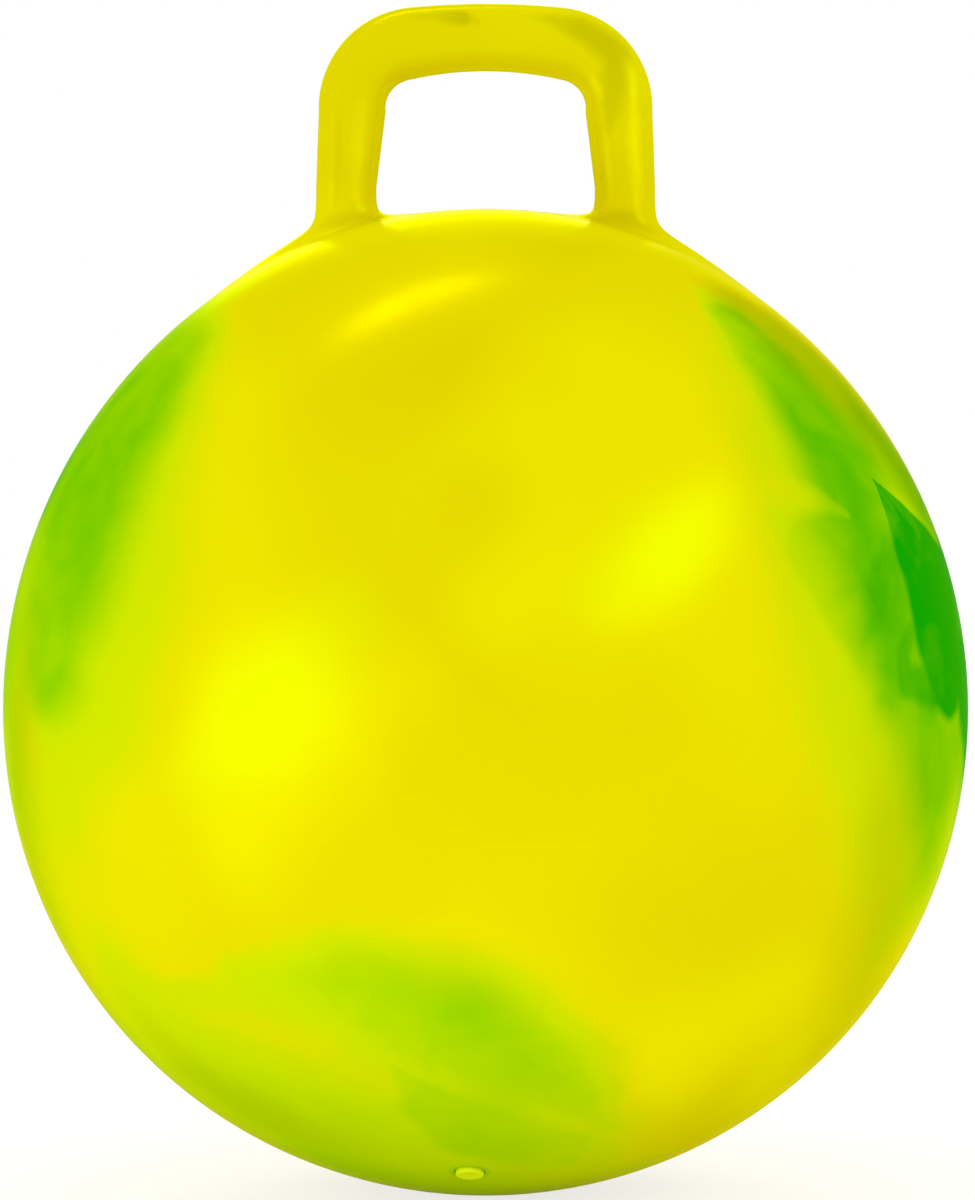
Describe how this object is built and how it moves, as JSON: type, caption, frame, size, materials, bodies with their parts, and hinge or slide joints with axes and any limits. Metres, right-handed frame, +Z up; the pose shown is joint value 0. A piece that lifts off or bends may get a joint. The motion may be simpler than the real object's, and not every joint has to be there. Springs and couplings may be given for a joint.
{
  "type": "hopper ball",
  "caption": "Inflated vinyl hopper ball with a moulded hand loop on its crown, a bonded valve seat and a ribbed air plug that pulls out.",
  "frame": {"origin": "on the floor, at the centre of the small flat where the ball rests", "axes": "+Z up through the crown and the hand loop, +X along the grip bar, -Y towards the valve"},
  "size_m": [0.4499, 0.45, 0.5558],
  "materials": {
    "ball_vinyl": "satin",
    "handle_vinyl": "satin",
    "seat_vinyl": "satin",
    "plug_plastic": "gloss"
  },
  "bodies": {
    "ball": {"ball_shell": "ball_vinyl", "handle": "handle_vinyl", "valve_seat": "seat_vinyl"},
    "plug": {"valve_plug": "plug_plastic"}
  },
  "joints": [
    {"name": "plug_pull", "type": "slide", "parent": "ball", "child": "plug", "axis": [-0.0309, -0.4415, -0.8967], "range_m": [0, 0.014]}
  ]
}
